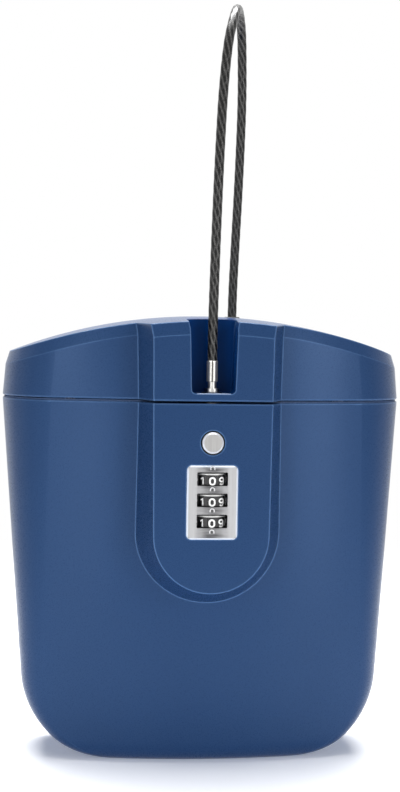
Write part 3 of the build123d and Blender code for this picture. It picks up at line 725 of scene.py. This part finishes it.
# Soft pad on the case floor
def add_pad():
    """Closed-cell foam pad with round corners and a slightly crowned top."""
    half_x, half_y = PAD_HIGH[0], PAD_HIGH[1]
    corner = 8 * MM
    corner_steps = 8
    thick = PAD_HIGH[2] - PAD_LOW[2]
    centre_x, centre_y = half_x - corner, half_y - corner
    outline = []
    for quarter, (sign_x, sign_y) in enumerate(((1, 1), (-1, 1), (-1, -1), (1, -1))):
        x, y = sign_x * centre_x, sign_y * centre_y
        start = 90 * quarter
        outline += arc(x, y, corner, corner, start, start + 90, corner_steps)
    # Profile of the side, the shoulder and the crown, as shares of the outline and the thickness
    shoulder_in, shoulder_rise, shoulder_steps = 0.04, 0.3, 6
    side = [(0.985, 0.0), (1.0, 0.1)]
    shoulder = arc(1 - shoulder_in, 0.55, shoulder_in, shoulder_rise, 0, 90, shoulder_steps)
    crown = [(0.8, 0.9), (0.55, 0.955), (0.25, 0.99)]
    profile = side + shoulder + crown
    verts = []
    for grow, rise in profile:
        for x, y in outline:
            verts.append((x * grow, y * grow, PAD_LOW[2] + rise * thick))
    count = len(outline)
    faces = [tuple(reversed(range(count)))]
    for i in range(len(profile) - 1):
        for k in range(count):
            a, b = i * count + k, i * count + (k + 1) % count
            faces.append((a, b, b + count, a + count))
    top_ring = (len(profile) - 1) * count
    faces.append(tuple(range(top_ring, top_ring + count)))
    pad = add_mesh("foam_pad", verts, faces)
    pad.data.materials.append(FOAM)
    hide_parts("base_pad")
    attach(pad, "case")


add_pad()


# Front edge of the notch floor, painted pale as a highlight
def add_notch_lip():
    """Thin rounded edge along the front of the notch floor, in a pale plastic that is a painted
    highlight.
    """
    half = 7.0 * MM
    radius = 0.3 * MM
    steps = 12
    sides = 12
    below_bush = 0.6 * MM
    behind_front = 0.25 * MM
    height = BUSH_HIGH - below_bush
    place_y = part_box("lid_shell")[0][1] + behind_front
    path = [Vector((-half + 2 * half * i / steps, place_y, height)) for i in range(steps + 1)]
    lip = add_tube("notch_lip", path, lambda turn, walked: radius, sides)
    lip.data.materials.append(LIP_HIGHLIGHT)
    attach(lip, "lid")


add_notch_lip()


def add_pin_shade_ring():
    """Dark rubber ring round the pin where it crosses the seam, also painted shade that hides a
    glint in the seam gap.
    """
    ring_reach, ring_radius = 3.6 * MM, 0.33 * MM
    seam = (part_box("case_shell")[1][2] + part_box("lid_shell")[0][2]) / 2
    centre = Vector((0, box_middle("plug_pin", 1), seam))
    shade_ring = add_ring("pin_seal", centre, ring_reach, ring_radius)
    shade_ring.data.materials.append(RUBBER)
    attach(shade_ring, "lid")


add_pin_shade_ring()


# Floor, light and background
def floor_material():
    """White floor that fades out into the white background away from the object."""
    n = Nodes("floor_white")
    fade_start, fade_end = 0.25, 0.7
    n.set(Base_Color=(0.9, 0.9, 0.9, 1), Roughness=0.6, Specular_IOR_Level=0.1)
    n.set(Emission_Color=(0.72, 0.8, 1.0, 1), Emission_Strength=0.25)
    distance = n.add("ShaderNodeVectorMath")
    distance.operation = "LENGTH"
    n.join(n.place, distance.inputs[0])
    fade = n.spread(distance.outputs["Value"], 0.0, 1.0, start=fade_start, end=fade_end)
    clear = n.add("ShaderNodeBsdfTransparent")
    mix = n.add("ShaderNodeMixShader")
    n.join(fade, mix.inputs["Fac"])
    n.join(n.shader.outputs["BSDF"], mix.inputs[1])
    n.join(clear.outputs["BSDF"], mix.inputs[2])
    n.join(mix.outputs["Shader"], n.tree.nodes["Material Output"].inputs["Surface"])
    return n.material


def add_floor():
    """Flat floor that the object stands on."""
    half = 0.8
    corners = [(-half, -half, 0), (half, -half, 0), (half, half, 0), (-half, half, 0)]
    floor = add_mesh("floor", corners, [(0, 1, 2, 3)])
    floor.data.materials.append(floor_material())
    floor.visible_shadow = False


def add_light(name, azimuth, distance, height, target_height, size, power):
    """Softbox at an angle round the object, counted from the front towards the right."""
    data = bpy.data.lights.new(name, "AREA")
    data.shape = "RECTANGLE"
    data.size, data.size_y = size
    data.energy = power
    lamp = bpy.data.objects.new(name, data)
    turn = math.radians(azimuth)
    place = Vector((distance * math.sin(turn), -distance * math.cos(turn), height))
    aim = Vector((0, 0, target_height)) - place
    lamp.location = place
    lamp.rotation_euler = aim.to_track_quat("-Z", "Y").to_euler()
    bpy.context.collection.objects.link(lamp)
    lamp.visible_camera = False


def add_world():
    """White to the camera and in reflections, and a dimmer white as light."""
    world = bpy.data.worlds.new("studio")
    bpy.context.scene.world = world
    world.use_nodes = True
    tree = world.node_tree
    background = tree.nodes["Background"]
    light_colour, light_strength = (0.9, 0.94, 1.0, 1), 0.02
    background.inputs["Color"].default_value = light_colour
    background.inputs["Strength"].default_value = light_strength
    shown = tree.nodes.new("ShaderNodeBackground")
    shown.inputs["Color"].default_value = (1, 1, 1, 1)
    path = tree.nodes.new("ShaderNodeLightPath")
    mix = tree.nodes.new("ShaderNodeMixShader")
    seen = path.outputs["Is Camera Ray"]
    for ray in ("Is Glossy Ray", "Is Transmission Ray"):
        either = tree.nodes.new("ShaderNodeMath")
        either.operation = "MAXIMUM"
        tree.links.new(seen, either.inputs[0])
        tree.links.new(path.outputs[ray], either.inputs[1])
        seen = either.outputs["Value"]
    tree.links.new(seen, mix.inputs["Fac"])
    tree.links.new(background.outputs["Background"], mix.inputs[1])
    tree.links.new(shown.outputs["Background"], mix.inputs[2])
    tree.links.new(mix.outputs["Shader"], tree.nodes["World Output"].inputs["Surface"])


NARROW = (0.2, 0.62)
WIDE = (0.6, 1.2)

# Name, azimuth in degrees, distance, height, height aimed at and size in metres, power in watts
LIGHTS = (
    ("left_near_low", -25, 1.3, -0.16, 0.0, NARROW, 1.5),
    ("left_key_high", -34, 1.3, 0.48, 0.1, NARROW, 3.2),
    ("left_key_low", -34, 1.3, -0.16, 0.0, NARROW, 1.0),
    ("left_fill", -55, 1.2, 0.15, 0.1, WIDE, 1.2),
    ("left_side", -90, 1.2, 0.15, 0.1, WIDE, 0.6),
    ("left_back", -128, 1.2, 0.15, 0.1, WIDE, 0.6),
    ("right_near_high", 29.5, 1.3, 0.48, 0.1, NARROW, 1.3),
    ("right_near_low", 29.5, 1.3, -0.16, 0.0, NARROW, 1.0),
    ("right_key_high", 38.5, 1.3, 0.48, 0.1, NARROW, 3.6),
    ("right_key_low", 38.5, 1.3, -0.16, 0.0, NARROW, 1.9),
    ("right_side", 98, 1.2, 0.15, 0.1, WIDE, 0.15),
    ("front_left", -9, 1.4, 0.15, 0.1, (0.42, 1.2), 0.5),
    ("front_right", 12, 1.4, 0.15, 0.1, (0.36, 1.2), 0.9),
    ("top_back", 180, 0.42, 1.2, 0.0, (1.0, 0.6), 24),
    ("top", 180, 0.05, 1.2, 0.1, (1.0, 0.8), 16),
)

add_floor()
add_world()
for light in LIGHTS:
    add_light(*light)
bpy.context.scene.view_settings.view_transform = "Standard"
